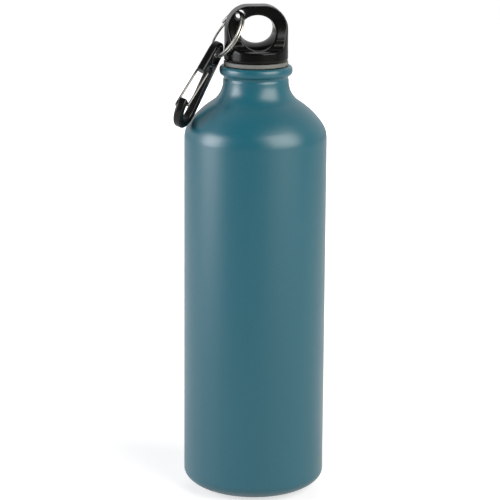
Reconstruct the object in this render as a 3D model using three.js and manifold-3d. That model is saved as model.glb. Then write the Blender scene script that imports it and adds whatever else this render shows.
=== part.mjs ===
// Aluminium drinking bottle with a screw-in loop cap, a split ring and a wire-gate clip.
// Millimetres, +Z up. The origin is the centre of the standing plane.
// The finger hole of the cap runs along Y, and the ring and the clip hang on the -X side.
import * as THREE from "three";
import { mergeVertices } from "three/addons/utils/BufferGeometryUtils.js";
import Module from "manifold-3d";

const wasm = await Module();
wasm.setup();

// Bottle: one drawn aluminium shell
const bodyRadius = 36.5;
const bodyTop = 186.0;
const wall = 0.9;
const baseWall = 1.4;
const standInner = 19.5;
const standOuter = 22.5;
const baseDome = 4.0;
const baseCornerHeight = 8.5;
const shoulderRadius = 13.7;
const shoulderBend = THREE.MathUtils.degToRad(35.3);
const slopeRadius = 41.3;
const neckRadius = 16.76;
const neckFillet = 12.7;
const neckHeight = 3.2;
const lipProud = 1.84;
const lipHeight = 4.3;
const creaseDepth = 0.35;
const creaseHeight = 1.3;

// Thread ring held in the neck, and the plug that screws into it
const seatGap = 0.25;
const ringWall = 1.2;
const ringHeight = 10.0;
const threadSpace = 1.9;
const plugWall = 2.0;
const plugDepth = 14.0;
const plugRoof = 2.4;

// Gasket between the lip and the cap
const gasketProud = 0.1;
const gasketThickness = 1.8;
const gasketRound = 0.5;

// Loop cap
const capSetback = 0.46;
const bandHeight = 6.0;
const loopHeight = 21.6;
const loopSetback = 0.5;
const loopCornerAcross = 11.6;
const loopCornerUp = 13.0;
const loopHalfTop = 5.4;
const loopHalfFoot = 8.8;
const footFillet = 5.0;
const capEdge = 0.6;
const loopUpright = 6.9;
const fingerFloor = 2.6;
const loopBar = 5.0;
const rimFlare = 0.45;
const floorStep = 0.15;

// Small hole in the loop's shoulder for the split ring
const ringHoleInside = 0.4;
const ringHoleDrop = 4.5;
const ringHoleWaist = 2.2;
const ringHoleFlare = 0.66;

// Split ring: flat steel wire wound twice
const coilRadius = 12.4;
const wireRadial = 1.4;
const wireAxial = 0.85;
const coilGap = 0.36;
const wireChamfer = 0.28;
const crossover = THREE.MathUtils.degToRad(56);
const crossoverPlace = THREE.MathUtils.degToRad(255);
const ringLean = THREE.MathUtils.degToRad(31);
const ringTwist = THREE.MathUtils.degToRad(12);
const ringOffset = 0.62;

// Clip: a flat pear-shaped hook with a captive eye
const clipThickness = 4.2;
const clipChamfer = 1.0;
const eyeRadius = 6.8;
const eyeHole = 4.6;
const hookRadius = 10.4;
const hookAcross = -3.7;
const hookDown = 31.2;
const hookBand = 4.4;
const webThickness = 2.6;
const openingTopRadius = 3.0;
const noseLength = 5.6;
const gateGap = 17.8;
const clipPlace = THREE.MathUtils.degToRad(190);
const clipHang = 0.2;
const clipAside = 0.85;
const clipSway = THREE.MathUtils.degToRad(-12.75);
const clipLean = THREE.MathUtils.degToRad(27.4);
const clipTurn = THREE.MathUtils.degToRad(59.7);

// Wire gate of the clip
const gateWire = 1.2;
const gateClearance = 0.3;
const gateBend = 1.3;
const pivotSetback = 3.2;
const pivotOffset = 1.1;
const pivotDepth = 1.7;
const pivotSlack = 0.6;
const notchBack = 0.35;

// Facets
const aroundBottle = 48;
const aroundHole = 36;
const aroundWire = 8;
const overlap = 1.0;

// Finishes
const finishes = {
  paint: new THREE.MeshStandardMaterial({ color: 0x33697c, roughness: 0.38, metalness: 0.25 }),
  bareAluminium: new THREE.MeshStandardMaterial({ color: 0xb9bcbe, roughness: 0.4, metalness: 1.0 }),
  silicone: new THREE.MeshStandardMaterial({ color: 0x9a9a98, roughness: 0.6, metalness: 0.0 }),
  blackPlastic: new THREE.MeshStandardMaterial({ color: 0x0d0d0e, roughness: 0.22, metalness: 0.0 }),
  steel: new THREE.MeshStandardMaterial({ color: 0xc3c1ba, roughness: 0.2, metalness: 1.0 }),
  blackMetal: new THREE.MeshStandardMaterial({ color: 0x111112, roughness: 0.3, metalness: 0.6 }),
};

// Shared vertices merged, flat slivers dropped and faces turned outwards
function weld(geometry) {
  const bare = new THREE.BufferGeometry();
  bare.setAttribute("position", geometry.getAttribute("position").clone());
  if (geometry.index) bare.setIndex(geometry.index.clone());
  const merged = mergeVertices(bare, 1e-4);
  const place = merged.getAttribute("position");
  const corner = [0, 1, 2].map(() => new THREE.Vector3());
  const faces = [];
  let volume = 0;
  for (let i = 0; i < merged.index.count; i += 3) {
    const face = [0, 1, 2].map((k) => merged.index.getX(i + k));
    if (new Set(face).size < 3) continue;
    face.forEach((vertex, k) => corner[k].fromBufferAttribute(place, vertex));
    volume += corner[0].dot(corner[1].clone().cross(corner[2]));
    faces.push(face);
  }
  if (volume < 0) faces.forEach((face) => face.reverse());
  merged.setIndex(faces.flat());
  return merged;
}

function toSolid(geometry) {
  const welded = weld(geometry);
  const vertProperties = new Float32Array(welded.getAttribute("position").array);
  const triVerts = new Uint32Array(welded.index.array);
  return new wasm.Manifold(new wasm.Mesh({ numProp: 3, vertProperties, triVerts }));
}

function toGeometry(solid) {
  const mesh = solid.getMesh();
  const geometry = new THREE.BufferGeometry();
  geometry.setAttribute("position", new THREE.BufferAttribute(new Float32Array(mesh.vertProperties), 3));
  geometry.setIndex(new THREE.BufferAttribute(new Uint32Array(mesh.triVerts), 1));
  return geometry;
}

// A profile of (radius, height) points turned about Z
function turned(profile, segments = aroundBottle) {
  const lathe = new THREE.LatheGeometry([...profile, profile[0]], segments);
  return weld(lathe.rotateX(Math.PI / 2));
}

// Closed rings of equal count, skinned one to the next and capped at both ends
function loft(rings) {
  const count = rings[0].length;
  const points = rings.flat();
  const faces = [];
  for (let i = 0; i + 1 < rings.length; i += 1) {
    for (let k = 0; k < count; k += 1) {
      const a = i * count + k;
      const b = i * count + ((k + 1) % count);
      faces.push(a, b, b + count, a, b + count, a + count);
    }
  }
  const last = (rings.length - 1) * count;
  for (let k = 1; k + 1 < count; k += 1) {
    faces.push(0, k + 1, k, last, last + k, last + k + 1);
  }
  const geometry = new THREE.BufferGeometry().setFromPoints(points);
  geometry.setIndex(faces);
  return geometry;
}

// Points along an arc of an ellipse, both ends included
function arc(centre, across, up, from, to, steps) {
  const points = [];
  for (let i = 0; i <= steps; i += 1) {
    const angle = THREE.MathUtils.lerp(from, to, i / steps);
    points.push(new THREE.Vector2(centre.x + across * Math.cos(angle), centre.y + up * Math.sin(angle)));
  }
  return points;
}

const at = (x, y) => new THREE.Vector2(x, y);
const direction = (angle) => at(Math.cos(angle), Math.sin(angle));
const quarter = Math.PI / 2;

// Sizes that follow the neck
const lipRadius = neckRadius + lipProud;
const capRadius = neckRadius - capSetback;
const gasketRadius = capRadius + gasketProud;
const loopHalfWidth = capRadius - loopSetback;
const fingerHalfWidth = loopHalfWidth - loopUpright;
const ringHoleAcross = fingerHalfWidth - ringHoleInside;

// Shoulder: two convex arcs and a concave fillet that turn the wall into the neck
const shoulderCentre = at(bodyRadius - shoulderRadius, bodyTop);
const bendPoint = shoulderCentre.clone().addScaledVector(direction(shoulderBend), shoulderRadius);
const slopeCentre = bendPoint.clone().addScaledVector(direction(shoulderBend), -slopeRadius);
const filletX = neckRadius + neckFillet;
const slopeToFillet = slopeRadius + neckFillet;
const slope = Math.acos((filletX - slopeCentre.x) / slopeToFillet);
const filletCentre = slopeCentre.clone().addScaledVector(direction(slope), slopeToFillet);
const neckFoot = filletCentre.y;
const lipFoot = neckFoot + neckHeight;
const lipTop = lipFoot + creaseHeight + lipHeight;
const boreRadius = neckRadius - wall;

// The shoulder curve of the shell, moved inwards by a wall
function shoulderCurve(inset) {
  const filletRadius = neckFillet + inset;
  return [
    ...arc(shoulderCentre, shoulderRadius - inset, shoulderRadius - inset, 0, shoulderBend, 4),
    ...arc(slopeCentre, slopeRadius - inset, slopeRadius - inset, shoulderBend, slope, 4).slice(1),
    ...arc(filletCentre, filletRadius, filletRadius, Math.PI + slope, Math.PI, 6).slice(1),
  ];
}

function bottleShell() {
  const corner = at(standOuter, baseCornerHeight);
  const cornerAcross = bodyRadius - standOuter;
  const lipAcross = lipRadius - neckRadius + wall / 2;
  const lipCentre = at(neckRadius - wall / 2, lipTop - lipHeight / 2);
  const domeCurve = (rise) => [0, 0.35, 0.65, 0.88].map((share) =>
    at(standInner * share, rise + baseDome * (1 - share * share)));
  const outside = [
    ...domeCurve(0),
    at(standInner, 0),
    ...arc(corner, cornerAcross, baseCornerHeight, -quarter, 0, 6),
    ...shoulderCurve(0),
    at(neckRadius, lipFoot - creaseHeight),
    at(neckRadius - creaseDepth, lipFoot),
    at(neckRadius, lipFoot + creaseHeight),
    ...arc(lipCentre, lipAcross, lipHeight / 2, -quarter * 0.8, quarter, 8),
  ];
  const inside = [
    at(boreRadius, lipTop - wall),
    at(boreRadius, lipFoot + creaseHeight),
    at(boreRadius - creaseDepth, lipFoot),
    at(boreRadius, lipFoot - creaseHeight),
    ...shoulderCurve(wall).reverse(),
    ...arc(corner, cornerAcross - wall, baseCornerHeight - baseWall, 0, -quarter, 5),
    at(standInner, baseWall),
    ...domeCurve(baseWall).reverse(),
  ];
  return turned([...outside, ...inside]);
}

// Thread ring: its outer groove takes the crease that holds it in the neck
const ringOuter = boreRadius - seatGap;
const ringBore = ringOuter - ringWall;
const ringTop = lipTop - wall - seatGap;
const plugRadius = ringBore - threadSpace;

function neckThreadRing() {
  const groove = creaseDepth + seatGap / 2;
  const bevel = ringWall / 3;
  return turned([
    at(ringBore, ringTop - bevel),
    at(ringBore, ringTop - ringHeight + bevel),
    at(ringBore + bevel, ringTop - ringHeight),
    at(ringOuter, ringTop - ringHeight),
    at(ringOuter, lipFoot - creaseHeight),
    at(ringOuter - groove, lipFoot - seatGap),
    at(ringOuter - groove, lipFoot + seatGap),
    at(ringOuter, lipFoot + creaseHeight),
    at(ringOuter, ringTop),
    at(ringBore + bevel, ringTop),
  ]);
}

// Gasket: a flat silicone ring with rounded edges
const gasketFoot = lipTop + seatGap;
const gasketTop = gasketFoot + gasketThickness;
const capFoot = gasketTop + seatGap;

function gasket() {
  const inner = plugRadius + seatGap;
  const edge = (x, y, from) => arc(at(x, y), gasketRound, gasketRound, from, from + quarter, 2);
  return turned([
    ...edge(gasketRadius - gasketRound, gasketFoot + gasketRound, -quarter),
    ...edge(gasketRadius - gasketRound, gasketTop - gasketRound, 0),
    ...edge(inner + gasketRound, gasketTop - gasketRound, quarter),
    ...edge(inner + gasketRound, gasketFoot + gasketRound, Math.PI),
  ]);
}

// Loop cap: the band and the loop are one block, cut to its front, side and plan outlines
const shelf = capFoot + bandHeight;
const capTop = shelf + loopHeight;
const holeFloor = shelf + fingerFloor;
const holeTop = capTop - loopBar;

function loopFront() {
  const shape = new THREE.Shape();
  const straight = capTop - loopCornerUp;
  const flat = loopHalfWidth - loopCornerAcross;
  shape.moveTo(-capRadius - overlap, capFoot);
  shape.lineTo(capRadius + overlap, capFoot);
  shape.lineTo(capRadius + overlap, shelf);
  shape.lineTo(loopHalfWidth, shelf);
  shape.lineTo(loopHalfWidth, straight);
  shape.absellipse(flat, straight, loopCornerAcross, loopCornerUp, 0, quarter, false, 0);
  shape.lineTo(-flat, capTop);
  shape.absellipse(-flat, straight, loopCornerAcross, loopCornerUp, quarter, Math.PI, false, 0);
  shape.lineTo(-loopHalfWidth, shelf);
  shape.lineTo(-capRadius - overlap, shelf);
  const depth = 2 * (capRadius + overlap);
  const block = new THREE.ExtrudeGeometry(shape, { depth, bevelEnabled: false, curveSegments: 10 });
  return block.translate(0, 0, -depth / 2).rotateX(quarter);
}

function loopSide() {
  const shape = new THREE.Shape();
  const reach = capRadius + overlap;
  const foot = loopHalfFoot + footFillet;
  const filletTop = shelf + footFillet;
  const shoulder = capTop - loopCornerUp / 2;
  shape.moveTo(-reach, capFoot);
  shape.lineTo(reach, capFoot);
  shape.lineTo(reach, shelf);
  shape.lineTo(foot, shelf);
  shape.absarc(foot, filletTop, footFillet, -quarter, Math.PI, true);
  shape.quadraticCurveTo(loopHalfTop, (filletTop + shoulder) / 2, loopHalfTop, shoulder);
  shape.lineTo(loopHalfTop, capTop + overlap);
  shape.lineTo(-loopHalfTop, capTop + overlap);
  shape.lineTo(-loopHalfTop, shoulder);
  shape.quadraticCurveTo(-loopHalfTop, (filletTop + shoulder) / 2, -loopHalfFoot, filletTop);
  shape.absarc(-foot, filletTop, footFillet, 0, -quarter, true);
  shape.lineTo(-reach, shelf);
  const depth = 2 * reach;
  const block = new THREE.ExtrudeGeometry(shape, { depth, bevelEnabled: false, curveSegments: 6 });
  return block.translate(0, 0, -depth / 2).rotateX(quarter).rotateZ(quarter);
}

function capPlan() {
  return turned([
    at(0, capFoot),
    at(capRadius - capEdge, capFoot),
    at(capRadius, capFoot + capEdge),
    at(capRadius, capTop),
    at(0, capTop),
  ]);
}

// Depths at which a hole through the loop is sectioned
const holeStations = [-1, -0.72, -0.52, -0.36, -0.2, 0, 0.2, 0.36, 0.52, 0.72, 1].map(
  (share) => share * (capRadius + overlap));

function fingerHole() {
  const drop = fingerFloor - floorStep;
  return loft(holeStations.map((depth) => {
    const flare = rimFlare * (depth / loopHalfTop) ** 2;
    const bottom = holeFloor - drop * Math.min(1, (depth / loopHalfFoot) ** 2);
    const top = Math.min(holeTop + flare, capTop + overlap);
    const centre = at(0, (top + bottom) / 2);
    const across = fingerHalfWidth + flare / 2;
    const outline = arc(centre, across, (top - bottom) / 2, 0, 2 * Math.PI, aroundHole).slice(1);
    return outline.map((point) => new THREE.Vector3(point.x, depth, point.y));
  }));
}

const ringHole = new THREE.Vector3(-ringHoleAcross, 0, capTop - ringHoleDrop);

function ringHoleCutter() {
  const sides = aroundHole / 2;
  return loft(holeStations.map((depth) => {
    const radius = ringHoleWaist + ringHoleFlare * (depth / loopHalfTop) ** 2;
    const outline = arc(at(ringHole.x, ringHole.z), radius, radius, 0, 2 * Math.PI, sides).slice(1);
    return outline.map((point) => new THREE.Vector3(point.x, depth, point.y));
  }));
}

function loopCap() {
  const plugFoot = capFoot - plugDepth;
  const bevel = plugWall / 4;
  const plug = turned([
    at(0, plugFoot),
    at(plugRadius - bevel, plugFoot),
    at(plugRadius, plugFoot + bevel),
    at(plugRadius, capFoot + overlap),
    at(0, capFoot + overlap),
  ]);
  const hollow = turned([
    at(0, plugFoot - overlap),
    at(plugRadius - plugWall, plugFoot - overlap),
    at(plugRadius - plugWall, shelf - plugRoof - plugWall),
    at(plugRadius - 2 * plugWall, shelf - plugRoof),
    at(0, shelf - plugRoof),
  ]);
  const block = toSolid(loopFront()).intersect(toSolid(loopSide())).intersect(toSolid(capPlan()));
  const holed = block.subtract(toSolid(fingerHole())).subtract(toSolid(ringHoleCutter()));
  return toGeometry(holed.add(toSolid(plug)).subtract(toSolid(hollow)));
}

// Split ring: one wire of two turns that crosses from the lower turn to the upper one
const ringUp = new THREE.Vector3(Math.sin(ringLean), 0, Math.cos(ringLean));
const ringSide = new THREE.Vector3(0, -1, 0).applyAxisAngle(ringUp, ringTwist);
const ringAxis = new THREE.Vector3().crossVectors(ringUp, ringSide);
const ringCentre = ringHole.clone().addScaledVector(ringUp, ringOffset - coilRadius);

function onRing(angle, radius = coilRadius, rise = 0) {
  return ringCentre.clone()
    .addScaledVector(ringUp, radius * Math.cos(angle))
    .addScaledVector(ringSide, radius * Math.sin(angle))
    .addScaledVector(ringAxis, rise);
}

function splitRing() {
  const layer = wireAxial + coilGap;
  const turns = 4 * Math.PI - crossover;
  const steps = 90;
  const start = crossoverPlace + crossover / 2;
  const middle = start + turns / 2;
  const halfRadial = wireRadial / 2;
  const halfAxial = wireAxial / 2;
  const section = [
    at(halfRadial, halfAxial - wireChamfer),
    at(halfRadial - wireChamfer, halfAxial),
    at(wireChamfer - halfRadial, halfAxial),
    at(-halfRadial, halfAxial - wireChamfer),
    at(-halfRadial, wireChamfer - halfAxial),
    at(wireChamfer - halfRadial, -halfAxial),
    at(halfRadial - wireChamfer, -halfAxial),
    at(halfRadial, wireChamfer - halfAxial),
  ];
  const rings = [];
  for (let i = 0; i <= steps; i += 1) {
    const angle = start + (turns * i) / steps;
    const share = THREE.MathUtils.smoothstep(angle, middle - crossover / 2, middle + crossover / 2);
    const rise = layer * (share - 0.5);
    rings.push(section.map((point) => onRing(angle, coilRadius + point.x, rise + point.y)));
  }
  let least = Infinity;
  const apart = Math.round(steps / 4);
  for (let i = 0; i <= steps; i += 1) {
    for (let k = i + apart; k <= steps; k += 1) {
      for (const a of rings[i]) for (const b of rings[k]) least = Math.min(least, a.distanceTo(b));
    }
  }
  console.log(`split ring: least gap between its turns ${least.toFixed(2)} mm`);
  return weld(loft(rings));
}

// Clip outline: two circles and the straight lines that touch both
const hookCentre = at(hookAcross, -hookDown);

function pear(top, topRadius, foot, footRadius) {
  const axis = foot.clone().sub(top);
  const spread = Math.acos((topRadius - footRadius) / axis.length());
  const right = axis.angle() + spread;
  const left = axis.angle() - spread;
  return { top, topRadius, foot, footRadius, right, left };
}

function pearPath(outline, path) {
  const { top, topRadius, foot, footRadius, right, left } = outline;
  path.absarc(top.x, top.y, topRadius, right, left, false);
  path.absarc(foot.x, foot.y, footRadius, left, right, false);
  path.closePath();
  return path;
}

const openingTop = at(0, -(eyeHole + webThickness + openingTopRadius));
openingTop.x = hookCentre.x * (openingTop.y / hookCentre.y);
const clipOuter = pear(at(0, 0), eyeRadius, hookCentre, hookRadius);
const clipOpening = pear(openingTop, openingTopRadius, hookCentre, hookRadius - hookBand);

// The gate side of the clip: a line down the middle of its arm, from the nose to the stub
const armOut = direction(clipOuter.left);
const armDown = at(-armOut.y, armOut.x);
const armTop = openingTop.clone().addScaledVector(armOut, openingTopRadius + hookBand / 2);
const noseTip = armTop.clone().addScaledVector(armDown, noseLength - openingTopRadius);
const stubTop = noseTip.clone().addScaledVector(armDown, gateGap);
const pivot = stubTop.clone().addScaledVector(armDown, pivotSetback);
const pivotHole = gateWire / 2 + pivotSlack;
const catchPoint = noseTip.clone()
  .addScaledVector(armDown, -gateWire - gateClearance)
  .addScaledVector(armOut, notchBack - hookBand / 2);
const halfClip = clipThickness / 2;

function turnedAlongArm(geometry) {
  return geometry.rotateZ(armDown.angle());
}

function pivotBore(side) {
  const bore = new THREE.CylinderGeometry(pivotHole, pivotHole, pivotDepth + overlap, aroundHole / 2);
  const place = pivot.clone().addScaledVector(armDown, -side * pivotOffset);
  const height = side * (halfClip + (overlap - pivotDepth) / 2);
  return toSolid(bore.rotateX(quarter).translate(place.x, place.y, height));
}

function carabinerBody() {
  const shape = pearPath(clipOuter, new THREE.Shape());
  const eye = new THREE.Path().absarc(0, 0, eyeHole, 0, 2 * Math.PI, true);
  shape.holes = [eye, pearPath(clipOpening, new THREE.Path())];
  const plate = new THREE.ExtrudeGeometry(shape, {
    depth: clipThickness - 2 * clipChamfer,
    bevelThickness: clipChamfer,
    bevelSize: clipChamfer,
    bevelOffset: -clipChamfer,
    bevelSegments: 2,
    curveSegments: 9,
  });
  plate.translate(0, 0, clipChamfer - halfClip);
  const gap = new THREE.BoxGeometry(gateGap, hookBand * 2, clipThickness + overlap);
  const middle = noseTip.clone().lerp(stubTop, 0.5);
  turnedAlongArm(gap).translate(middle.x, middle.y, 0);
  const slotRadius = gateWire / 2 + gateClearance;
  const slotSeat = new THREE.CylinderGeometry(slotRadius, slotRadius, clipThickness + overlap, aroundWire * 2);
  slotSeat.rotateX(quarter).translate(catchPoint.x, catchPoint.y, 0);
  const slotMouth = new THREE.BoxGeometry(2 * slotRadius, hookBand, clipThickness + overlap);
  const mouth = catchPoint.clone().addScaledVector(armOut, -hookBand / 2);
  turnedAlongArm(slotMouth).translate(mouth.x, mouth.y, 0);
  return toGeometry(
    toSolid(plate)
      .subtract(toSolid(gap))
      .subtract(toSolid(slotSeat))
      .subtract(toSolid(slotMouth))
      .subtract(pivotBore(1))
      .subtract(pivotBore(-1)));
}

// A line through points whose corners are rounded
function roundedPath(points, bend) {
  const path = new THREE.CurvePath();
  let from = points[0];
  for (let i = 1; i + 1 < points.length; i += 1) {
    const back = points[i - 1].clone().sub(points[i]).setLength(bend);
    const on = points[i + 1].clone().sub(points[i]).setLength(bend);
    const before = points[i].clone().add(back);
    const after = points[i].clone().add(on);
    path.add(new THREE.LineCurve3(from, before));
    path.add(new THREE.QuadraticBezierCurve3(before, points[i], after));
    from = after;
  }
  path.add(new THREE.LineCurve3(from, points[points.length - 1]));
  return path;
}

function wireGate() {
  const leg = halfClip + gateClearance + gateWire / 2;
  const foot = (side) => pivot.clone().addScaledVector(armDown, -side * pivotOffset);
  const place = (point, height) => new THREE.Vector3(point.x, point.y, height);
  const tipDepth = halfClip - pivotDepth + gateClearance;
  const path = roundedPath([
    place(foot(1), tipDepth),
    place(foot(1), leg),
    place(catchPoint, leg),
    place(catchPoint, -leg),
    place(foot(-1), -leg),
    place(foot(-1), -tipDepth),
  ], gateBend);
  const section = new THREE.Shape().absarc(0, 0, gateWire / 2, 0, 2 * Math.PI, false);
  const steps = 72;
  return weld(new THREE.ExtrudeGeometry(section, { steps, extrudePath: path, curveSegments: aroundWire / 2 }));
}

function piece(name, geometry, finish) {
  const mesh = new THREE.Mesh(geometry, finish);
  mesh.name = name;
  return mesh;
}

const bottle = new THREE.Group();
bottle.add(
  piece("bottle_shell", bottleShell(), finishes.paint),
  piece("neck_thread_ring", neckThreadRing(), finishes.bareAluminium),
  piece("gasket", gasket(), finishes.silicone),
  piece("loop_cap", loopCap(), finishes.blackPlastic),
  piece("split_ring", splitRing(), finishes.steel),
);

// The clip hangs by its eye on the lower arc of the ring and lies against the shoulder
const hangingClip = new THREE.Group();
hangingClip.position.copy(onRing(clipPlace));
hangingClip.rotation.set(clipSway, clipLean, 0, "YXZ");
const uprightClip = new THREE.Group();
uprightClip.position.set(clipAside * Math.cos(clipTurn), clipAside * Math.sin(clipTurn), -clipHang);
uprightClip.rotation.set(quarter, 0, clipTurn, "ZXY");
uprightClip.add(
  piece("carabiner_body", carabinerBody(), finishes.blackMetal),
  piece("wire_gate", wireGate(), finishes.steel),
);
hangingClip.add(uprightClip);
bottle.add(hangingClip);

export default bottle;
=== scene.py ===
# %% [markdown]
# A painted aluminium drinking bottle with a black loop cap, a split ring and a wire-gate clip.
# The imported CAD model comes first. It is the frame, and every finer piece below rides on an
# empty named for one of its bodies.
# Sizes are in millimetres, as on a maker's drawing, and turn into metres when a piece is placed.
# The floor, the lamps and the camera are in metres, which are Blender's own unit.

# %% Frame
import math
import bmesh
import bpy
from mathutils import Matrix, Vector


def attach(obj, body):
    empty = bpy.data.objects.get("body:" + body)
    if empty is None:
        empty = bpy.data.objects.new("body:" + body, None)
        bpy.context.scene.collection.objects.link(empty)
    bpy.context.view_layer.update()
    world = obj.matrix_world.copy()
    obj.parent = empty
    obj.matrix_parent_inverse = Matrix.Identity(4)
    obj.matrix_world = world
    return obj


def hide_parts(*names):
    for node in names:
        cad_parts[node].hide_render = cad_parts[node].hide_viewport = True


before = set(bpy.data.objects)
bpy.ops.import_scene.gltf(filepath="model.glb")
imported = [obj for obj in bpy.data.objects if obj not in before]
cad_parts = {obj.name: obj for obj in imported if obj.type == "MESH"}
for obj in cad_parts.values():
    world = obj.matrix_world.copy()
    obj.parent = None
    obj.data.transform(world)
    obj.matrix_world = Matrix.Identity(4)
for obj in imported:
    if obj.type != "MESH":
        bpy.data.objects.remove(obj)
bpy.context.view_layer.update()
MM = 0.001


# %% [markdown]
# No real surface is even: paint has grain, plastic has flow marks and wire has drawing lines.
# A photograph of the surface could be wrapped round a piece, but it would need unwrapping and
# would blur close up. Nodes are used instead. Noise in the piece's own space tints the colour
# finely, moves the roughness in broad patches and lifts a very shallow bump.

# %% Noise helper
noise_low, noise_high = 0.3, 0.7


def set_inputs(node, settings):
    """Gives several sockets of a node their plain values."""
    for socket, value in settings.items():
        node.inputs[socket].default_value = value
    return node


def noise(tree, place, scale, detail):
    """Noise over a piece, its scale counted to the metre."""
    node = set_inputs(tree.nodes.new("ShaderNodeTexNoise"), {"Scale": scale, "Detail": detail})
    tree.links.new(place, node.inputs["Vector"])
    return node.outputs["Fac"]


print("most noise lies between", noise_low, "and", noise_high)

# %% Finish helper
tint_share, patches = 0.1, 60.0
grain_detail, patch_detail, peel_detail = 3.0, 4.0, 2.0


def finish(name, colour, metal, rough, grain, peel, depth, stretch=(1, 1, 1)):
    """A material with tinted grain, patchy gloss and a bumpy peel. Grain and peel count to the metre."""
    material = bpy.data.materials.new(name)
    material.use_nodes = True
    tree = material.node_tree
    shader = set_inputs(tree.nodes["Principled BSDF"], {"Metallic": metal})
    spot = tree.nodes.new("ShaderNodeTexCoord")
    squeeze = set_inputs(tree.nodes.new("ShaderNodeMapping"), {"Scale": stretch})
    tree.links.new(spot.outputs["Object"], squeeze.inputs["Vector"])
    place = squeeze.outputs["Vector"]

    tint = tree.nodes.new("ShaderNodeValToRGB")
    shares = (1 - tint_share, 1 + tint_share)
    for stop, position, share in zip(tint.color_ramp.elements, (noise_low, noise_high), shares):
        stop.position = position
        stop.color = (*[min(1, c * share) for c in colour], 1)
    tree.links.new(noise(tree, place, grain, grain_detail), tint.inputs["Fac"])
    tree.links.new(tint.outputs["Color"], shader.inputs["Base Color"])

    gloss = set_inputs(tree.nodes.new("ShaderNodeMapRange"), {
        "From Min": noise_low, "From Max": noise_high, "To Min": rough[0], "To Max": rough[1]})
    tree.links.new(noise(tree, place, patches, patch_detail), gloss.inputs["Value"])
    tree.links.new(gloss.outputs["Result"], shader.inputs["Roughness"])

    bump = set_inputs(tree.nodes.new("ShaderNodeBump"), {"Strength": 1.0, "Distance": depth})
    tree.links.new(noise(tree, place, peel, peel_detail), bump.inputs["Height"])
    tree.links.new(bump.outputs["Normal"], shader.inputs["Normal"])
    print("finish:", name)
    return material


# %% [markdown]
# The outside has a satin teal paint with a soft sheen, sprayed and baked, which leaves a faint
# orange peel. Two shaders could be mixed for paint and sheen, but the coat of one Principled
# shader does the same with less. The inside has a thin pale-gold lacquer on bare aluminium. Its
# grain is stretched upwards, because the metal was drawn that way.

# %% Paint and lacquer
paint = finish("teal_satin_paint", (0.009, 0.113, 0.159), metal=0.0, rough=(0.32, 0.38),
               grain=2600, peel=900, depth=0.00001)
set_inputs(paint.node_tree.nodes["Principled BSDF"], {"Coat Weight": 0.55, "Coat Roughness": 0.34})
lacquer = finish("inner_lacquer", (0.62, 0.58, 0.46), metal=1.0, rough=(0.34, 0.46),
                 grain=900, peel=700, depth=0.00001, stretch=(1, 1, 0.15))

# %% [markdown]
# A mesh becomes a piece when an object holds it and the object rides on a body of the frame.
# It can also stand in for a solid of the CAD model, which is then hidden. All pieces need the
# same steps, so one helper does them, and smooths the shading over the faces.

# %% Placing helper
def place_piece(mesh, name, body, materials, replaces=None):
    """A millimetre mesh becomes a smooth piece in metres that rides on a body."""
    mesh.transform(Matrix.Scale(MM, 4))
    mesh.materials.clear()
    for material in materials:
        mesh.materials.append(material)
    for face in mesh.polygons:
        face.use_smooth = True
    piece = bpy.data.objects.new(name, mesh)
    bpy.context.scene.collection.objects.link(piece)
    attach(piece, body)
    if replaces:
        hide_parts(replaces)
    print(name, "on", body, len(mesh.polygons), "faces")


print("solids to dress:", len(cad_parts))

# %% [markdown]
# The shell is one impact-extruded cup: a domed base, a straight wall, a shoulder of two arcs, a
# fillet into the neck, a crease that holds the thread ring, and a rolled lip. A Screw modifier
# could turn it. Here a short function turns a closed outline about Z, so that every size has a
# name and the arcs are fine enough for gloss without facets. The corner of the base is a little
# rounder than on the solid, and the lip is a little squarer and lower.

# %% Shell sizes
body_radius, body_top = 36.5, 186.0
wall, base_wall = 0.9, 1.4
stand_inner, stand_outer, dome, corner_height = 15.0, 17.4, 4.0, 9.4
shoulder_radius, shoulder_bend, slope_radius = 13.7, math.radians(35.3), 41.3
neck_radius, neck_fillet, neck_height = 16.76, 12.7, 1.8
lip_radius, lip_height, lip_tuck, lip_square = 18.6, 4.9, 0.8, 0.75
crease_depth, crease_height = 0.35, 1.3
bore = neck_radius - wall
print("body", 2 * body_radius, "mm across, neck bore", round(2 * bore, 2), "mm")

# %% Where the shell's arcs meet
shoulder_x = body_radius - shoulder_radius
step_in = shoulder_radius - slope_radius
slope_x = shoulder_x + step_in * math.cos(shoulder_bend)
slope_z = body_top + step_in * math.sin(shoulder_bend)
fillet_x = neck_radius + neck_fillet
reach = slope_radius + neck_fillet
slope = math.acos((fillet_x - slope_x) / reach)
neck_foot = slope_z + reach * math.sin(slope)
lip_foot = neck_foot + neck_height
lip_top = lip_foot + crease_height + lip_height
print("neck starts at", round(neck_foot, 2), "mm, lip ends at", round(lip_top, 2), "mm")

# %% Curves of the shell
QUARTER = math.pi / 2
TURN = 2 * math.pi


def arc(cx, cz, across, up, start, end, steps, square=1.0):
    """Points along an arc of an ellipse, both ends included, and squarer where square is below 1."""
    def eased(value):
        return math.copysign(abs(value) ** square, value)

    angles = [start + (end - start) * i / steps for i in range(steps + 1)]
    return [(cx + across * eased(math.cos(a)), cz + up * eased(math.sin(a))) for a in angles]


def shoulder(inset):
    """The two shoulder arcs and the neck's fillet, moved into the wall by inset."""
    rounded, flat, hollow = shoulder_radius - inset, slope_radius - inset, neck_fillet + inset
    return (arc(shoulder_x, body_top, rounded, rounded, 0, shoulder_bend, steps=16)
            + arc(slope_x, slope_z, flat, flat, shoulder_bend, slope, steps=20)[1:]
            + arc(fillet_x, neck_foot, hollow, hollow, math.pi + slope, math.pi, steps=20)[1:])


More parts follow.
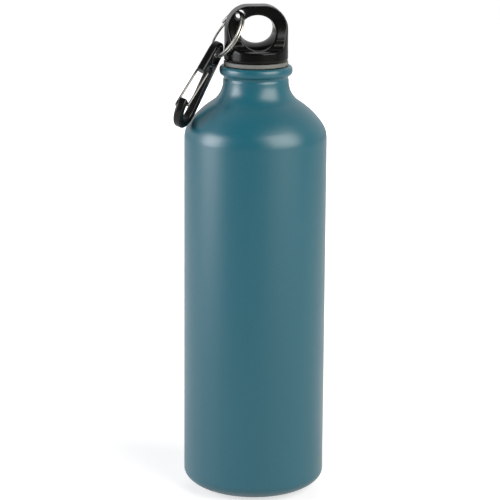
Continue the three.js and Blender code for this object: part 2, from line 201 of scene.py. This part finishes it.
def crease(radius, steps=16):
    """The groove that is pressed into the neck, as a smooth dip in radius."""
    shares = [2 * i / steps - 1 for i in range(steps + 1)]
    dips = [crease_depth / 2 * (1 + math.cos(math.pi * share)) for share in shares]
    return [(radius - dip, lip_foot + crease_height * share) for dip, share in zip(dips, shares)]


def base_dome(rise, steps=12):
    """The hollow under the base, from the axis to the standing ring."""
    shares = [i / steps for i in range(steps + 1)]
    return [(stand_inner * share, rise + dome * (1 - share * share)) for share in shares]


print("points over the shoulder:", len(shoulder(0)))

# %% Outline of the shell
corner_across = body_radius - stand_outer
lip_x, lip_half = neck_radius - wall / 2, lip_height / 2
outside = (base_dome(0)
           + arc(stand_outer, corner_height, corner_across, corner_height, -QUARTER, 0, steps=24)
           + shoulder(0) + crease(neck_radius)
           + arc(lip_x, lip_top - lip_half, lip_radius - lip_x, lip_half,
                 -QUARTER * lip_tuck, QUARTER, steps=24, square=lip_square))
inside = ([(bore, lip_top - wall)] + crease(bore)[::-1] + shoulder(wall)[::-1]
          + arc(stand_outer, corner_height, corner_across - wall, corner_height - base_wall,
                0, -QUARTER, steps=20)
          + base_dome(base_wall)[::-1])
print("outline of", len(outside), "points outside and", len(inside), "inside")

# %% Turning helper
merge_gap = 1e-4


def mesh_from(name, points, faces):
    """A mesh from millimetre points, merged where points meet and turned outwards."""
    bm = bmesh.new()
    corners = [bm.verts.new(p) for p in points]
    for face in faces:
        bm.faces.new([corners[i] for i in face])
    bmesh.ops.remove_doubles(bm, verts=bm.verts, dist=merge_gap)
    bmesh.ops.dissolve_degenerate(bm, edges=bm.edges, dist=merge_gap / 2)
    bmesh.ops.delete(bm, geom=[edge for edge in bm.edges if not edge.link_faces], context="EDGES")
    bmesh.ops.recalc_face_normals(bm, faces=bm.faces)
    mesh = bpy.data.meshes.new(name)
    bm.to_mesh(mesh)
    bm.free()
    return mesh


def turned(name, profile, around=160):
    """A closed outline of (radius, height) points turned about Z."""
    count = len(profile)
    points, faces = [], []
    for k in range(around):
        c, s = math.cos(TURN * k / around), math.sin(TURN * k / around)
        points += [(r * c, r * s, z) for r, z in profile]
        n = (k + 1) % around
        for i in range(count):
            j = (i + 1) % count
            faces.append((k * count + i, n * count + i, n * count + j, k * count + j))
    return mesh_from(name, points, faces)


shell_mesh = turned("bottle_shell_fine", outside + inside, around=192)
place_piece(shell_mesh, "painted_shell", "bottle", [paint, lacquer], "bottle_shell")

# %% [markdown]
# The lacquer is a coat on the inside of the same metal, not a piece of its own. A second shell
# inside the first could show it, but the two would flicker where they touch. So the faces that
# look inwards take the second material of the shell, up to the edge of the lip.

# %% Lacquer on the inside
lined = 0
for face in shell_mesh.polygons:
    in_base = face.center.z < corner_height * MM
    faces_in = face.normal.z > 0 if in_base else face.center.xy.dot(face.normal.xy) < 0
    if faces_in and face.center.z < (lip_top - wall) * MM:
        face.material_index = 1
        lined += 1
print("lacquered faces:", lined)

# %% [markdown]
# A bottle of this kind closes by a coarse thread. Its inner half is a turned aluminium ring in
# the neck, and the shell's crease is pressed into a groove round it. Cylinders and booleans could
# build it, but it has only turned faces and small bevels, so the function that turned the shell
# makes it too. Its grain is squeezed upwards, which leaves the fine rings of a turning tool.

# %% Thread ring in the neck
seat_gap, ring_wall, ring_height = 0.25, 1.2, 10.0
ring_bevel, groove_half = 0.4, 0.25
ring_outer = bore - seat_gap
ring_bore = ring_outer - ring_wall
ring_top = lip_top - wall - seat_gap
ring_foot = ring_top - ring_height
groove_radius = ring_outer - crease_depth - seat_gap / 2
ring_profile = [
    (ring_bore, ring_top - ring_bevel), (ring_bore, ring_foot + ring_bevel),
    (ring_bore + ring_bevel, ring_foot), (ring_outer, ring_foot),
    (ring_outer, lip_foot - crease_height), (groove_radius, lip_foot - groove_half),
    (groove_radius, lip_foot + groove_half), (ring_outer, lip_foot + crease_height),
    (ring_outer, ring_top), (ring_bore + ring_bevel, ring_top)]
aluminium = finish("turned_aluminium", (0.60, 0.61, 0.62), metal=1.0, rough=(0.24, 0.36),
                   grain=1200, peel=1600, depth=0.000006, stretch=(1, 1, 6))
place_piece(turned("thread_ring_fine", ring_profile, around=128), "turned_thread_ring", "bottle",
            [aluminium], "neck_thread_ring")

# %% [markdown]
# A thread is a ridge wound on a helix, which fades out at both ends. It could be cut from the
# ring with a boolean, but that is slow and often leaves bad faces. Here a four-sided section is
# swept up the helix and sunk a little into the ring. The plug of the cap gets the same ridge
# later, half a pitch higher, so that the two pass each other as the cap turns.

# %% Thread sizes and sweep helper
pitch, ridge_turns, ridge_lead = 4.5, 1.6, 1.1
ridge_height, ridge_width, crest_share, ridge_root = 1.15, 1.5, 0.2, 0.15
ridge_steps, fade_steps, faded_share = 150, 14, 0.05


def swept(name, rings):
    """Closed rings of equal count skinned one to the next, with flat ends."""
    count = len(rings[0])
    points = [p for ring in rings for p in ring]
    faces = []
    for i in range(len(rings) - 1):
        for k in range(count):
            a, b = i * count + k, i * count + (k + 1) % count
            faces.append((a, b, b + count, a + count))
    last = (len(rings) - 1) * count
    faces.append(tuple(range(count)))
    faces.append(tuple(last + k for k in range(count)))
    return mesh_from(name, points, faces)


print("thread climbs", pitch * ridge_turns, "mm in", ridge_turns, "turns")


# %% Thread ridge in the neck
def ridge(name, radius, height, foot):
    """A thread ridge that stands out from radius by height, inwards if height is negative."""
    rings = []
    for i in range(ridge_steps + 1):
        angle = TURN * ridge_turns * i / ridge_steps
        z = foot + pitch * ridge_turns * i / ridge_steps
        share = max(faded_share, min(1, i / fade_steps, (ridge_steps - i) / fade_steps))
        root, crest = radius - math.copysign(ridge_root, height), radius + height * share
        c, s = math.cos(angle), math.sin(angle)
        section = [(root, -ridge_width / 2), (crest, -ridge_width * crest_share),
                   (crest, ridge_width * crest_share), (root, ridge_width / 2)]
        rings.append([(r * c, r * s, z + dz) for r, dz in section])
    return swept(name, rings)


ridge_foot = ring_foot + ridge_lead
inner_ridge = ridge("neck_ridge", ring_bore, -ridge_height, ridge_foot)
place_piece(inner_ridge, "neck_thread_ridge", "bottle", [aluminium])

# %% [markdown]
# The gasket is a soft flat silicone ring with rounded edges. It sits on the lip and stays with
# the cap. A torus would be too round, so its outline is a box with four small arcs, turned about
# Z. Its grey is a little dusty, with a dull even sheen.

# %% Gasket
gasket_radius, gasket_thickness, gasket_round = 16.4, 2.1, 0.5
thread_room = 1.9
plug_radius = ring_bore - thread_room
gasket_foot = lip_top + seat_gap
gasket_top = gasket_foot + gasket_thickness
outer_x = gasket_radius - gasket_round
inner_x = plug_radius + seat_gap + gasket_round
gasket_corners = [(outer_x, gasket_foot + gasket_round), (outer_x, gasket_top - gasket_round),
                  (inner_x, gasket_top - gasket_round), (inner_x, gasket_foot + gasket_round)]
rim = [point for i, (x, z) in enumerate(gasket_corners)
       for point in arc(x, z, gasket_round, gasket_round, (i - 1) * QUARTER, i * QUARTER, steps=8)]
silicone = finish("grey_silicone", (0.178, 0.18, 0.168), metal=0.0, rough=(0.50, 0.66),
                  grain=1500, peel=1400, depth=0.00001)
place_piece(turned("gasket_fine", rim, around=160), "silicone_gasket", "gasket",
            [silicone], "gasket")

# %% [markdown]
# The loop cap is one black moulding: a round band, a loop with a flared finger hole, a small hole
# for the ring and a hollow plug. Subdivision modelling could give it, but its sizes would drift.
# Its block is made here as a mould maker cuts it, where a front outline, a side outline and a
# round plan meet. Booleans then take out the holes and add the plug.

# %% Cap sizes
past = 1.0
cap_radius, cap_edge, band_height, loop_height = 16.3, 0.6, 5.7, 22.4
loop_half, corner_x, corner_z = 15.8, 11.6, 13.0
half_top, half_foot, foot_fillet = 5.4, 8.8, 5.0
finger_half, finger_floor, loop_bar, rim_flare, floor_step = 8.9, 3.1, 5.0, 0.45, 0.15
hole_x, hole_drop, hole_waist, hole_flare = -8.5, 4.5, 2.2, 0.66
plug_wall, plug_depth, plug_roof, plug_edge = 2.0, 13.5, 2.4, 0.5
cap_foot = gasket_top + seat_gap
shelf = cap_foot + band_height
cap_top = shelf + loop_height
hole_z = cap_top - hole_drop
far = cap_radius + past
print("cap from", round(cap_foot, 2), "to", round(cap_top, 2), "mm")

# %% Front outline of the cap
straight_top = cap_top - corner_z
flat_half = loop_half - corner_x
front = ([(-far, cap_foot), (far, cap_foot), (far, shelf), (loop_half, shelf)]
         + arc(flat_half, straight_top, corner_x, corner_z, 0, QUARTER, steps=40)
         + arc(-flat_half, straight_top, corner_x, corner_z, QUARTER, math.pi, steps=40)
         + [(-loop_half, shelf), (-far, shelf)])
print("front outline of", len(front), "points")


# %% Side outline of the cap
def bend(a, b, c, steps):
    """A quadratic curve from a to c, drawn towards b."""
    return [tuple((1 - t) ** 2 * p + 2 * t * (1 - t) * q + t * t * r for p, q, r in zip(a, b, c))
            for t in [i / steps for i in range(steps + 1)]]


fillet_top = shelf + foot_fillet
upper = cap_top - corner_z / 2
middle = (fillet_top + upper) / 2
flank = (arc(half_foot + foot_fillet, fillet_top, foot_fillet, foot_fillet, -QUARTER, -math.pi, steps=12)
         + bend((half_foot, fillet_top), (half_top, middle), (half_top, upper), steps=24)[1:]
         + [(half_top, cap_top + past)])
side = ([(-far, cap_foot), (far, cap_foot), (far, shelf)] + flank
        + [(-u, v) for u, v in reversed(flank)] + [(-far, shelf)])
print("side outline of", len(side), "points")

# %% Holes through the loop
station_steps = 40
stations = [far * (2 * i / station_steps - 1) for i in range(station_steps + 1)]


def finger_section(depth):
    """The finger hole at a depth along Y, wider at its mouths and with a floor that falls to them."""
    flare = rim_flare * (depth / half_top) ** 2
    floor = shelf + finger_floor - (finger_floor - floor_step) * min(1, (depth / half_foot) ** 2)
    roof = min(cap_top - loop_bar + flare, cap_top + past)
    across, up = finger_half + flare / 2, (roof - floor) / 2
    outline = arc(0, floor + up, across, up, 0, TURN, steps=96)
    return [(x, depth, z) for x, z in outline[1:]]


def ring_hole_section(depth):
    """The ring's hole at a depth along Y, narrowest at its waist."""
    radius = hole_waist + hole_flare * (depth / half_top) ** 2
    return [(x, depth, z) for x, z in arc(hole_x, hole_z, radius, radius, 0, TURN, steps=40)[1:]]


finger_hole = swept("finger_hole", [finger_section(y) for y in stations])
ring_hole = swept("ring_hole", [ring_hole_section(y) for y in stations])
print("finger hole", 2 * finger_half, "mm wide, ring hole", 2 * hole_waist, "mm")

# %% Round plan, plug and its hollow
plan = turned("plan", [(0, cap_foot), (cap_radius - cap_edge, cap_foot),
                       (cap_radius, cap_foot + cap_edge), (cap_radius, cap_top), (0, cap_top)], around=160)
plug_foot = cap_foot - plug_depth
plug = turned("plug", [(0, plug_foot), (plug_radius - plug_edge, plug_foot),
                       (plug_radius, plug_foot + plug_edge), (plug_radius, cap_foot + past),
                       (0, cap_foot + past)], around=128)
plug_bore = plug_radius - plug_wall
hollow_roof = shelf - plug_roof
hollow = turned("hollow", [(0, plug_foot - past), (plug_bore, plug_foot - past),
                           (plug_bore, hollow_roof - plug_wall), (plug_bore - plug_wall, hollow_roof),
                           (0, hollow_roof)], around=128)
print("plug", round(2 * plug_radius, 2), "mm across and", plug_depth, "mm deep")


# %% Shaping helpers
def prism(name, outline, depth, place=Matrix.Identity(4)):
    """A flat outline of (u, v) points, thick by depth either side of its plane, set in place."""
    rings = [[tuple(place @ Vector((u, v, w))) for u, v in outline] for w in (-depth, depth)]
    return swept(name, rings)


def shaped(mesh, steps):
    """The mesh after a list of modifier steps, each a type and its settings."""
    body = bpy.data.objects.new("shaping", mesh)
    bpy.context.scene.collection.objects.link(body)
    for kind, settings in steps:
        step = body.modifiers.new(kind, kind)
        for key, value in settings.items():
            setattr(step, key, value)
    ready = body.evaluated_get(bpy.context.evaluated_depsgraph_get())
    result = bpy.data.meshes.new_from_object(ready)
    bpy.data.objects.remove(body)
    return result


def cut(mesh, operation, *tools):
    """One exact boolean after another: DIFFERENCE, UNION or INTERSECT with each tool."""
    for tool in tools:
        helper = bpy.data.objects.new("tool", tool)
        bpy.context.scene.collection.objects.link(helper)
        helper.hide_render = True
        mesh = shaped(mesh, [("BOOLEAN", {"operation": operation, "solver": "EXACT", "object": helper})])
        bpy.data.objects.remove(helper)
    return mesh


facing_front = Matrix.Rotation(QUARTER, 4, "X")
facing_side = Matrix.Rotation(QUARTER, 4, "Z") @ facing_front
block = cut(prism("front", front, far, facing_front), "INTERSECT",
            prism("side", side, far, facing_side), plan)
print("cap block of", len(block.polygons), "faces")

# %% [markdown]
# Moulded plastic has no sharp edge. A bevel fails where so many cut faces meet, so the block is
# remeshed into small even cells and smoothed a little, which rounds every edge alike. The plastic
# is almost black, with slow flow marks in its gloss. Its specular level is half the usual one,
# which keeps its faces black and leaves the highlights to its edges.

# %% Loop cap
cap_cell, cap_rounds, smooth_share = 0.3, 10, 0.5


def softened(mesh, cell, rounds):
    """The mesh in even cells, with its edges rounded by so many rounds of smoothing."""
    return shaped(mesh, [("REMESH", {"mode": "VOXEL", "voxel_size": cell}),
                         ("SMOOTH", {"factor": smooth_share, "iterations": rounds})])


cap_mesh = cut(block, "DIFFERENCE", finger_hole, ring_hole)
cap_mesh = cut(cut(cap_mesh, "UNION", plug), "DIFFERENCE", hollow)
cap_mesh = softened(cap_mesh, cap_cell, cap_rounds)
plastic = finish("black_moulded_plastic", (0.003, 0.0029, 0.0028), metal=0.0, rough=(0.14, 0.24),
                 grain=900, peel=500, depth=0.000006)
set_inputs(plastic.node_tree.nodes["Principled BSDF"], {"Specular IOR Level": 0.25})
place_piece(cap_mesh, "moulded_loop_cap", "cap", [plastic], "loop_cap")

# %% [markdown]
# The plug's thread is moulded in one with the cap. The remesh would blur so small a ridge, so it
# is a mesh of its own, sunk a little into the plug, in the same plastic and on the same body. It
# is wound by the neck's own numbers, half a pitch higher, and stands outwards.

# %% Thread ridge on the plug
outer_ridge = ridge("plug_ridge", plug_radius, ridge_height, ridge_foot + pitch / 2)
place_piece(outer_ridge, "plug_thread_ridge", "cap", [plastic])

# %% [markdown]
# The split ring is flat spring-steel wire wound nearly twice, with a crossover where one turn
# steps over to the other. Two plain tori would lack that step and the cut ends. So the section of
# the wire, a box with rounded corners, is swept along the winding, and it narrows at both ends.

# %% Place of the split ring
coil_radius, ring_offset = 12.4, 0.62
ring_lean, ring_twist = math.radians(31), math.radians(12)
ring_up = Vector((math.sin(ring_lean), 0, math.cos(ring_lean)))
ring_side = Matrix.Rotation(ring_twist, 3, ring_up) @ Vector((0, -1, 0))
ring_axis = ring_up.cross(ring_side)
ring_centre = Vector((hole_x, 0, hole_z)) + ring_up * (ring_offset - coil_radius)


def on_ring(angle, radius=coil_radius, rise=0.0):
    """A point by its angle round the ring, its radius and its rise along the ring's axis."""
    spoke = math.cos(angle) * ring_up + math.sin(angle) * ring_side
    return ring_centre + radius * spoke + rise * ring_axis


print("ring's centre, mm:", [round(v, 2) for v in ring_centre])

# %% Section of the ring's wire
wire_radial, wire_axial, wire_round = 1.4, 0.85, 0.26
half_r, half_a = wire_radial / 2 - wire_round, wire_axial / 2 - wire_round
wire_corners = [(half_r, half_a), (-half_r, half_a), (-half_r, -half_a), (half_r, -half_a)]
wire_section = [point for i, (u, v) in enumerate(wire_corners)
                for point in arc(u, v, wire_round, wire_round, i * QUARTER, (i + 1) * QUARTER, steps=4)]
print("wire section of", len(wire_section), "points")

# %% Split ring
coil_gap, crossover, crossover_place = 0.36, math.radians(56), math.radians(255)
coil_steps, end_steps, end_share = 360, 3, 0.55
turns = 2 * TURN - crossover
first = crossover_place + crossover / 2
halfway = first + turns / 2


def smooth_step(x):
    """A soft step from 0 to 1 as x goes from 0 to 1."""
    x = min(1, max(0, x))
    return x * x * (3 - 2 * x)


coil = []
for i in range(coil_steps + 1):
    angle = first + turns * i / coil_steps
    rise = (wire_axial + coil_gap) * (smooth_step((angle - halfway) / crossover + 0.5) - 0.5)
    end = min(1, min(i, coil_steps - i) / end_steps)
    share = end_share + (1 - end_share) * math.sqrt(1 - (1 - end) ** 2)
    coil.append([tuple(on_ring(angle, coil_radius + u * share, rise + v * share)) for u, v in wire_section])
steel = finish("spring_steel", (0.47, 0.455, 0.42), metal=1.0, rough=(0.24, 0.36),
               grain=1400, peel=2200, depth=0.0000008)
place_piece(swept("split_ring_fine", coil), "wound_split_ring", "ring", [steel], "split_ring")

# %% [markdown]
# The clip is a flat black hook, cast or forged and then anodised. It hangs from the ring by its
# eye. It could be modelled where it hangs, but a leaning plate is hard to measure. So it is drawn
# flat in a frame of its own, with the eye at the origin and the hook below it, and one matrix
# then leans and turns the whole clip into its place on the ring.

# %% Place of the clip
clip_place, clip_hang, clip_aside = math.radians(190), 0.2, 0.85
clip_sway, clip_lean, clip_turn = math.radians(-12.75), math.radians(27.4), math.radians(59.7)
aside = Vector((clip_aside * math.cos(clip_turn), clip_aside * math.sin(clip_turn), -clip_hang))
clip_frame = (Matrix.Translation(on_ring(clip_place)) @ Matrix.Rotation(clip_lean, 4, "Y")
              @ Matrix.Rotation(clip_sway, 4, "X") @ Matrix.Translation(aside)
              @ Matrix.Rotation(clip_turn, 4, "Z") @ Matrix.Rotation(QUARTER, 4, "X"))
print("clip's eye, mm:", [round(v, 2) for v in clip_frame.translation])

# %% Outlines of the clip
eye_radius, eye_hole, web, top_radius = 6.8, 4.6, 2.6, 3.0
hook_radius, hook_across, hook_down, hook_band = 10.4, -3.7, 31.2, 4.4
eye_centre = Vector((0, 0))
hook = Vector((hook_across, -hook_down))
opening_y = -(eye_hole + web + top_radius)
opening = Vector((hook.x * opening_y / hook.y, opening_y))


def pear(top, r_top, foot, r_foot, steps=48):
    """Two circles and the lines that touch both, with the angle of the touching point on the left."""
    axis = foot - top
    heading = math.atan2(axis.y, axis.x)
    spread = math.acos((r_top - r_foot) / axis.length)
    left, right = heading - spread, heading + spread
    over = arc(top.x, top.y, r_top, r_top, right, left + TURN, steps)
    under = arc(foot.x, foot.y, r_foot, r_foot, left, right, steps)
    return over + under, left


outer_outline, arm_angle = pear(eye_centre, eye_radius, hook, hook_radius)
inner_outline, _ = pear(opening, top_radius, hook, hook_radius - hook_band)
print("clip", round(hook_down + eye_radius + hook_radius, 1), "mm long")

# %% [markdown]
# The plate of the clip is the outer outline, thick by a few millimetres, with the eye and the
# opening cut out. Its edges are rounded by a bevel before the smaller cuts, because a bevel works
# well on clean long edges and badly on short ones.

# %% Plate of the clip
clip_thickness, clip_round, sharp_edge = 4.2, 1.0, math.radians(60)
half_clip = clip_thickness / 2


def peg(name, centre, radius, depth, steps=32, place=Matrix.Identity(4)):
    """A round cutter, thick by depth either side of the clip's plane, set in place."""
    outline = arc(centre.x, centre.y, radius, radius, 0, TURN, steps)[1:]
    return prism(name, outline, depth, place)


plate = cut(prism("plate", outer_outline, half_clip), "DIFFERENCE",
            peg("eye", eye_centre, eye_hole, half_clip + past, steps=64),
            prism("opening", inner_outline, half_clip + past))
plate = shaped(plate, [("BEVEL", {"width": clip_round, "segments": 4, "limit_method": "ANGLE",
                                  "angle_limit": sharp_edge, "use_clamp_overlap": False})])
print("plate of", len(plate.polygons), "faces")

# %% [markdown]
# On its left arm the hook is open, and the gate closes it. The nose above has a notch that takes
# the closed end of the gate's wire, and the stub below has two bores for its feet, one on each
# face. The bores are not in line, which is what springs the gate shut.

# %% Gate side of the clip
nose_length, gate_gap, gate_wire, clearance = 5.6, 17.8, 1.2, 0.3
notch_back, pivot_setback, pivot_offset = 0.35, 3.2, 1.1
arm_out = Vector((math.cos(arm_angle), math.sin(arm_angle)))
arm_down = Vector((-arm_out.y, arm_out.x))
arm_top = opening + arm_out * (top_radius + hook_band / 2)
nose = arm_top + arm_down * (nose_length - top_radius)
stub = nose + arm_down * gate_gap
pivot = stub + arm_down * pivot_setback
upper_foot, lower_foot = pivot - arm_down * pivot_offset, pivot + arm_down * pivot_offset
catch = nose - arm_down * (gate_wire + clearance) + arm_out * (notch_back - hook_band / 2)
print("gate from catch to pivot, mm:", round((pivot - catch).length, 1))

# %% Clip
pivot_depth, pivot_slack = 1.7, 0.6
clip_cell, clip_rounds = 0.2, 6
slot_radius = gate_wire / 2 + clearance
bore_radius = gate_wire / 2 + pivot_slack
bore_middle = half_clip + (past - pivot_depth) / 2


def along_arm(centre, length, width):
    """A box that lies along the clip's left arm."""
    a, b = arm_down * length / 2, arm_out * width / 2
    return [tuple(centre + p) for p in (a + b, b - a, -a - b, a - b)]


bores = [peg("bore", foot, bore_radius, (pivot_depth + past) / 2, place=Matrix.Translation((0, 0, z)))
         for foot, z in ((upper_foot, bore_middle), (lower_foot, -bore_middle))]
mouth = along_arm(catch - arm_out * hook_band / 2, 2 * slot_radius, hook_band)
plate = cut(plate, "DIFFERENCE",
            prism("gap", along_arm((nose + stub) / 2, gate_gap, 2 * hook_band), half_clip + past),
            peg("seat", catch, slot_radius, half_clip + past),
            prism("mouth", mouth, half_clip + past), *bores)
plate = softened(plate, clip_cell, clip_rounds)
plate.transform(clip_frame)
anodised = finish("black_anodising", (0.0075, 0.0075, 0.008), metal=0.3, rough=(0.20, 0.32),
                  grain=1500, peel=800, depth=0.000008)
place_piece(plate, "rounded_clip", "clip", [anodised], "carabiner_body")

# %% [markdown]
# The gate is one bent wire: a foot in the upper bore, a leg up to the notch, across and down the
# other face, and a foot in the lower bore. A curve object with a round bevel could draw it. Rings
# swept along the bent line are used instead, as for the split ring, so that the wire is a plain
# mesh with closed ends.

# %% Line of the gate's wire
gate_bend, bend_steps = 1.3, 10
leg = half_clip + clearance + gate_wire / 2
tip = half_clip - pivot_depth + clearance
stops = [Vector((*upper_foot, tip)), Vector((*upper_foot, leg)), Vector((*catch, leg)),
         Vector((*catch, -leg)), Vector((*lower_foot, -leg)), Vector((*lower_foot, -tip))]
line = [stops[0]]
for before, corner, after in zip(stops, stops[1:], stops[2:]):
    entry = corner + (before - corner).normalized() * gate_bend
    leaving = corner + (after - corner).normalized() * gate_bend
    line += [Vector(point) for point in bend(entry, corner, leaving, bend_steps)]
line.append(stops[-1])
print("gate line of", len(line), "points")

# %% Wire gate
wire_sides = 20
gate_rings = []
across = arm_out.to_3d()
for i, point in enumerate(line):
    ahead = (line[min(i + 1, len(line) - 1)] - line[max(i - 1, 0)]).normalized()
    across = (across - ahead * across.dot(ahead)).normalized()
    other = ahead.cross(across)
    gate_rings.append([tuple(point + gate_wire / 2 * (math.cos(a) * across + math.sin(a) * other))
                       for a in [TURN * k / wire_sides for k in range(wire_sides)]])
gate_mesh = swept("wire_gate_fine", gate_rings)
gate_mesh.transform(clip_frame)
wire = finish("drawn_gate_wire", (0.24, 0.23, 0.215), metal=1.0, rough=(0.34, 0.46),
              grain=1800, peel=2400, depth=0.0000008)
place_piece(gate_mesh, "bent_wire_gate", "gate", [wire], "wire_gate")

# %% [markdown]
# The bottle stands on plain white. Enough lamp light to make a floor white would burn out the
# bottle, so the floor is pale and adds a glow to the camera's own rays, which lights nothing. The
# glow is weaker near the bottle, which leaves its soft shadow on the floor. Mirror-like rays get
# some of it behind the bottle and none in front, which draws the bright rims of the paint.

# %% Glow, gloss and their node helpers
glow_ends, glow_levels = (0.08, 0.5), (0.63, 0.95)
floor_gloss_ends, floor_gloss = (-0.4, 0.1), (0.0, 0.27)


def ramp(tree, value, ends, levels, kind="LINEAR"):
    """A socket mapped from its two end values to two levels, and held beyond them."""
    node = set_inputs(tree.nodes.new("ShaderNodeMapRange"), {
        "From Min": ends[0], "From Max": ends[1], "To Min": levels[0], "To Max": levels[1]})
    node.interpolation_type = kind
    tree.links.new(value, node.inputs["Value"])
    return node.outputs["Result"]


def combine(tree, operation, first, second):
    """Two sockets joined by one step of arithmetic."""
    node = tree.nodes.new("ShaderNodeMath")
    node.operation = operation
    tree.links.new(first, node.inputs[0])
    tree.links.new(second, node.inputs[1])
    return node.outputs["Value"]


def gloss_level(tree, ray, place, ends, levels):
    """What mirror-like rays see, by how far back the place lies. Other rays see nothing."""
    axes = tree.nodes.new("ShaderNodeSeparateXYZ")
    tree.links.new(place, axes.inputs["Vector"])
    level = ramp(tree, axes.outputs["Y"], ends, levels, "SMOOTHSTEP")
    return combine(tree, "MULTIPLY", ray.outputs["Is Glossy Ray"], level)


print("glow of the floor, near and far:", glow_levels)

# %% Floor
floor_half, floor_drop = 6.0, 0.0002
floor_corners = [(x * floor_half, y * floor_half, 0) for x, y in ((-1, -1), (1, -1), (1, 1), (-1, 1))]
floor_mesh = bpy.data.meshes.new("floor")
floor_mesh.from_pydata(floor_corners, [], [(0, 1, 2, 3)])
floor = bpy.data.objects.new("floor", floor_mesh)
floor.location.z = -floor_drop
bpy.context.scene.collection.objects.link(floor)
pale = bpy.data.materials.new("pale_floor")
pale.use_nodes = True
floor_mesh.materials.append(pale)
print("floor", 2 * floor_half, "m wide")

# %% Floor's finish
floor_shade, floor_roughness = (0.58, 0.58, 0.58, 1), 0.9
tree = pale.node_tree
matt = set_inputs(tree.nodes["Principled BSDF"], {
    "Base Color": floor_shade, "Roughness": floor_roughness, "Specular IOR Level": 0.0})
glow = set_inputs(tree.nodes.new("ShaderNodeEmission"), {"Color": (1, 1, 1, 1)})
ray = tree.nodes.new("ShaderNodeLightPath")
place = tree.nodes.new("ShaderNodeNewGeometry").outputs["Position"]
away = tree.nodes.new("ShaderNodeVectorMath")
away.operation = "LENGTH"
tree.links.new(place, away.inputs[0])
paleness = ramp(tree, away.outputs["Value"], glow_ends, glow_levels)
seen = combine(tree, "MULTIPLY", ray.outputs["Is Camera Ray"], paleness)
mirrored = gloss_level(tree, ray, place, floor_gloss_ends, floor_gloss)
tree.links.new(combine(tree, "MAXIMUM", seen, mirrored), glow.inputs["Strength"])
both = tree.nodes.new("ShaderNodeAddShader")
tree.links.new(matt.outputs["BSDF"], both.inputs[0])
tree.links.new(glow.outputs["Emission"], both.inputs[1])
tree.links.new(both.outputs["Shader"], tree.nodes["Material Output"].inputs["Surface"])
print("floor's finish of", len(tree.nodes), "nodes")

# %% [markdown]
# The world stands for the white studio round the bottle. A plain white world would light it from
# all sides and wash out its form. This one is full white to the camera alone, nearly dark in
# front and pale behind for mirror-like rays, and gives only a weak fill to matt surfaces.

# %% World
sky_gloss_ends, sky_gloss, sky_fill = (-0.3, 0.5), (0.03, 0.62), 0.06
world = bpy.data.worlds.new("studio")
bpy.context.scene.world = world
world.use_nodes = True
tree = world.node_tree
sky = set_inputs(tree.nodes["Background"], {"Color": (1, 1, 1, 1)})
ray = tree.nodes.new("ShaderNodeLightPath")
heading = tree.nodes.new("ShaderNodeTexCoord").outputs["Generated"]
mirrored = gloss_level(tree, ray, heading, sky_gloss_ends, sky_gloss)
seen = combine(tree, "MAXIMUM", ray.outputs["Is Camera Ray"], mirrored)
fill = ramp(tree, ray.outputs["Is Diffuse Ray"], (0, 1), (0, sky_fill))
tree.links.new(combine(tree, "MAXIMUM", fill, seen), sky.inputs["Strength"])
print("fill on matt surfaces:", sky_fill)

# %% [markdown]
# Two soft boxes light the bottle, one from the left and a larger and higher one from the front
# right, so the middle of the bottle is its darkest part. A sun would give hard shadows, and small
# lamps would give small hard highlights. A third, weaker box stands behind for the far side. It
# is hidden from mirror-like rays, so that it draws no highlight of its own.

# %% Soft boxes
box_aim = Vector((0, 0, 0.14))


def soft_box(name, place, width, height, power, colour):
    """A lamp of the given size in metres and power in watts, turned to the bottle."""
    light = bpy.data.lights.new(name, "AREA")
    light.shape = "RECTANGLE"
    light.size = width
    light.size_y = height
    light.energy = power
    light.color = colour
    lamp = bpy.data.objects.new(name, light)
    lamp.location = place
    lamp.rotation_euler = (box_aim - Vector(place)).to_track_quat("-Z", "Y").to_euler()
    bpy.context.scene.collection.objects.link(lamp)
    print(name, power, "W")
    return lamp


soft_box("left_box", (-0.96, -0.12, 0.40), width=0.6, height=0.68, power=9.2, colour=(0.97, 0.98, 1.0))
soft_box("right_box", (0.68, -0.78, 0.69), width=1.0, height=1.08, power=16.5, colour=(1.0, 0.99, 0.94))
back_box = soft_box("back_box", (0.15, 1.15, 0.60), width=0.9, height=1.0, power=7.0, colour=(1, 1, 1))
back_box.visible_glossy = False

# %% [markdown]
# The picture was taken with a long lens from a little above, which keeps the sides of the bottle
# almost parallel. The camera's place, its small roll and its shift were fitted to the outline of
# the bottle. Colours are shown as they are, by the Standard view.

# %% Camera
eye_point = Vector((-0.16343, -1.14682, 0.40805))
look_at = Vector((-0.00221, 0.00031, 0.12715))
camera_roll = math.radians(0.373)
camera_data = bpy.data.cameras.new("camera")
camera_data.lens = 165.75
camera_data.sensor_width = 36.0
camera_data.shift_x = -0.0008
camera_data.shift_y = -0.0014
camera_data.clip_end = 50
camera = bpy.data.objects.new("camera", camera_data)
bpy.context.scene.collection.objects.link(camera)
look = (look_at - eye_point).to_track_quat("-Z", "Y").to_matrix().to_4x4()
camera.matrix_world = Matrix.Translation(eye_point) @ look @ Matrix.Rotation(camera_roll, 4, "Z")
bpy.context.scene.camera = camera
bpy.context.scene.view_settings.view_transform = "Standard"
print("camera", round((look_at - eye_point).length, 3), "m away")
